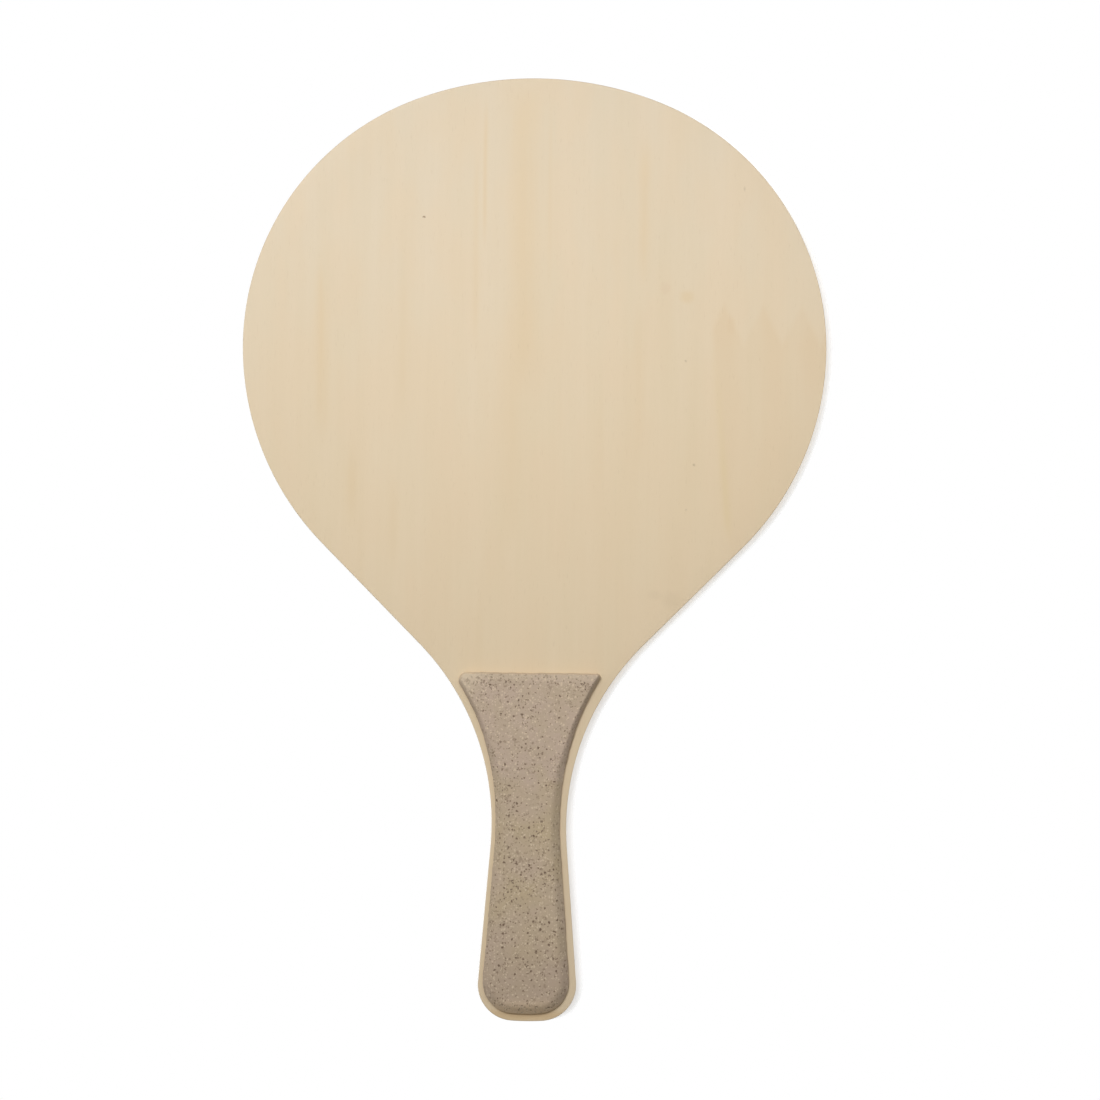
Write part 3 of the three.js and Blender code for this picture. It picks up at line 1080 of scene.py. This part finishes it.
def thin_line(name, dark, pale, roughness, scale):
    """A thin layer seen at its edge: two tones that come and go along it."""
    material, _, shader, place = new_material(name, IOR=1.5)
    cloud = noise(place, scale, 3)
    colour = mix(ramp(cloud, 0.35, 0.65), dark, pale)
    rough = ramp(cloud, 0.3, 0.7, roughness, roughness + 0.15)
    finish(shader, colour, rough, cloud, 0.3, 0.00005)
    return material


glue = thin_line("cured_glue", (0.12, 0.065, 0.03), (0.24, 0.15, 0.075), 0.4, 220)
tape = thin_line("pad_film", (0.55, 0.47, 0.35), (0.68, 0.61, 0.49), 0.35, 500)
finishes = {"core_wood": core_wood, "cross_wood": cross_wood, "glue": glue, "adhesive_film": tape}
for piece, node, slot in stands_for:
    if slot in finishes:
        piece.data.materials.append(finishes[slot])
print("edge finishes:", ", ".join(finishes))

# %% [markdown]
# ## The pads' speckled compound
#
# The pads are ground cork and rubber in a beige binder: a taupe ground full of dark brown
# grains of half a millimetre, more of them in some places than in others, with many smaller
# pale ones, and a ground that drifts between yellowish and pinkish. Grains are scattered points
# with a reach of their own, which is what Voronoi noise gives: near a point is a grain, and a
# random number for each point sets how large it is. Bending the space first by a little noise
# takes away their roundness. The skin is smeared smooth on the rolled edge, so fewer show there.

# %% The pads' speckled compound
grains, takes, gives = new_group(
    "scattered_grains",
    [("Vector", "Vector", (0, 0, 0)), ("Scale", "Float", 500), ("Reach", "Float", 0.2),
     ("Share", "Float", 0.5), ("Crowding", "Float", 0.0)],
    [("Mask", "Float"), ("Pick", "Float")],
)
# A point's reach is the largest one times how far its random number lies inside the share.
scattered = put(grains, "TexVoronoi", {"Vector": takes["Vector"], "Scale": takes["Scale"]})
pick = put(grains, "SeparateColor", {0: scattered.outputs["Color"]}).outputs
share = plus(takes["Share"], takes["Crowding"])
within = calc("DIVIDE", minus(share, pick[0]), takes["Share"], clamp=True)
reach = times(takes["Reach"], calc("POWER", within, 0.5))
depth_in = minus(reach, scattered.outputs["Distance"])
link(ramp(depth_in, 0.0, 0.07), gives["Mask"])
link(pick[1], gives["Pick"])

pad_finish, tree, shader, place = new_material("speckled_pad", IOR=1.4)
bent = unsettled(place, 1200, 0.0014)
crowd = times(minus(noise(place, 85, 1.5), 0.5), 0.9)


def scatter(scale, reach, share, crowding):
    """One size of grain: how many cells to the metre, and the largest grain in cell widths."""
    inputs = {"Vector": bent, "Scale": scale, "Reach": reach, "Share": share,
              "Crowding": times(crowd, crowding)}
    return used(tree, grains, inputs)


drift = noise(place, 55, 2)
parts = axes(place)
up = parts["Z"]
off_middle = calc("ABSOLUTE", minus(up, 0.064))
pink = ramp(drift, 0.32, 0.68, -0.25, 0.8)
pink = calc("ADD", pink, ramp(off_middle, 0.026, 0.048), clamp=True)
ground = mix(pink, (0.536, 0.427, 0.283), (0.542, 0.425, 0.333))
olive = times(ramp(noise(place, 140, 2), 0.35, 0.65), 0.5)

# Painted shade makes the pad darker towards the butt, though its lowest few millimetres, on the
# rolled edge there, are lighter. Painted light makes its top end and its upper left corner
# lighter, and painted shade makes it darker low down on its sides, near the board.
above_butt = ramp(up, 0.003, 0.011)
painted_butt_shade = times(ramp(up, 0.010, 0.045, 0.55, 0), above_butt)
# Painted light: a lighter band along the pad's top end and a lighter patch at its upper left corner.
inputs = {"Vector": place, "Centre": (-0.027, 0, 0.139), "Reach": (0.010, 1, 0.012), "Strength": 0.5}
painted_top_light = plus(ramp(up, 0.1355, 0.1395, 0, 0.35), used(tree, spot, inputs)[0])
# Painted shade: the pad is darker on its low wall next to the board.
painted_wall_shade = ramp(calc("ABSOLUTE", parts["Y"]), 0.0040, 0.0056, 0.35, 0)
painted_wall_shade = times(painted_wall_shade, above_butt, ramp(up, 0.100, 0.130, 1, 0.25))

# Crumbs are whole cells. Pale and dark grains fade on the rolled edge, dark ones also under the
# painted light at the top end, and each dark grain has a strength of its own.
cells = put(tree, "TexVoronoi", {"Vector": bent, "Scale": 1500}).outputs["Color"]
crumbs = ramp(put(tree, "SeparateColor", {0: cells}).outputs[0], 0.55, 1.0, 0, 0.15)
flat_part = axes(put(tree, "TexCoord").outputs["Normal"])["Y"]
flat_part = ramp(calc("ABSOLUTE", flat_part), 0.25, 0.85, 0.45, 1)
pale = scatter(1050, 0.50, 0.62, 0.4)
torn = plus(noise(place, 620, 4, 0.6), times(crowd, 0.12))
left_dark = times(calc("SUBTRACT", 1, times(painted_top_light, 1.2), clamp=True), flat_part)
small = scatter(1000, 0.44, 0.50, 0.8)
large = scatter(600, 0.34, 0.54, 0.8)
small_strength = times(ramp(small["Pick"], 0, 1, 0.42, 0.88), left_dark)
large_strength = times(ramp(large["Pick"], 0, 1, 0.40, 0.95), left_dark)
# Of these colours, the darker one towards the butt and the one low down on the sides are painted
# shade, and the lighter one at the top end is painted light.
for share, colour in (
    (olive, (0.509, 0.410, 0.292)),
    (painted_butt_shade, (0.440, 0.342, 0.250)),
    (minus(1, above_butt), (0.620, 0.472, 0.310)),
    (painted_top_light, (0.72, 0.60, 0.44)),
    (painted_wall_shade, (0.400, 0.315, 0.235)),
    (crumbs, (0.36, 0.27, 0.19)),
    (times(pale["Mask"], 0.65, flat_part), (0.72, 0.60, 0.44)),
    (times(ramp(torn, 0.58, 0.66, 0, 0.50), flat_part), (0.27, 0.195, 0.135)),
    (times(small["Mask"], small_strength), (0.225, 0.160, 0.110)),
    (times(large["Mask"], large_strength), (0.165, 0.110, 0.075)),
):
    ground = mix(share, ground, colour)

texture = noise(place, 2200, 3)
pits = plus(times(large["Mask"], 0.6), small["Mask"])
height = minus(texture, times(pits, 0.5))
rough = ramp(texture, 0.3, 0.7, 0.80, 0.95)
finish(shader, ground, rough, height, 0.5, 0.00006)
for piece, node, slot in stands_for:
    if slot == "grip_pad":
        piece.data.materials.append(pad_finish)
print("pad finish ready")

# %% [markdown]
# ## The printed board
#
# The checkerboard is one film of black screen ink. Its CAD shape is right, so it stays and only
# gets a finish. Screen ink on sanded wood isn't a flat black: it lies thinner over raised
# fibres, so faint lines of the grain show through as a slightly browner black and as a ripple
# in the gloss. The same grain group as on the wood gives them, in the same places.

# %% The printed board
ink_finish, tree, shader, place = new_material("screen_ink", IOR=1.5, Specular_IOR_Level=0.06)
along = put(tree, "Mapping", {"Vector": place, "Location": back_shift}).outputs[0]
fibre = used(tree, grain, {"Vector": along})
thin = ramp(fibre["Fibres"], 0.45, 0.75)
black = mix(thin, (0.0120, 0.0100, 0.009), (0.022, 0.017, 0.014))
black = mix(times(fibre["Pores"], 0.5), black, (0.040, 0.031, 0.023))
rough = ramp(fibre["Fibres"], 0.3, 0.7, 0.48, 0.64)
finish(shader, black, rough, fibre["Fibres"], 0.25, 0.00008)
print_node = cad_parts["checkerboard_print"]
print_node.data.materials.clear()
print_node.data.materials.append(ink_finish)
print("ink on", print_node.name)

# %% [markdown]
# ## What stands for what
#
# Each fine piece takes the place of one CAD solid and rides on the racket's one body. The print
# stays the CAD's own.

# %% What stands for what
for piece, node, slot in stands_for:
    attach(piece, "root")
    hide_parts(node)
print(len(stands_for), "pieces stand for", len(stands_for), "of", len(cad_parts), "nodes")
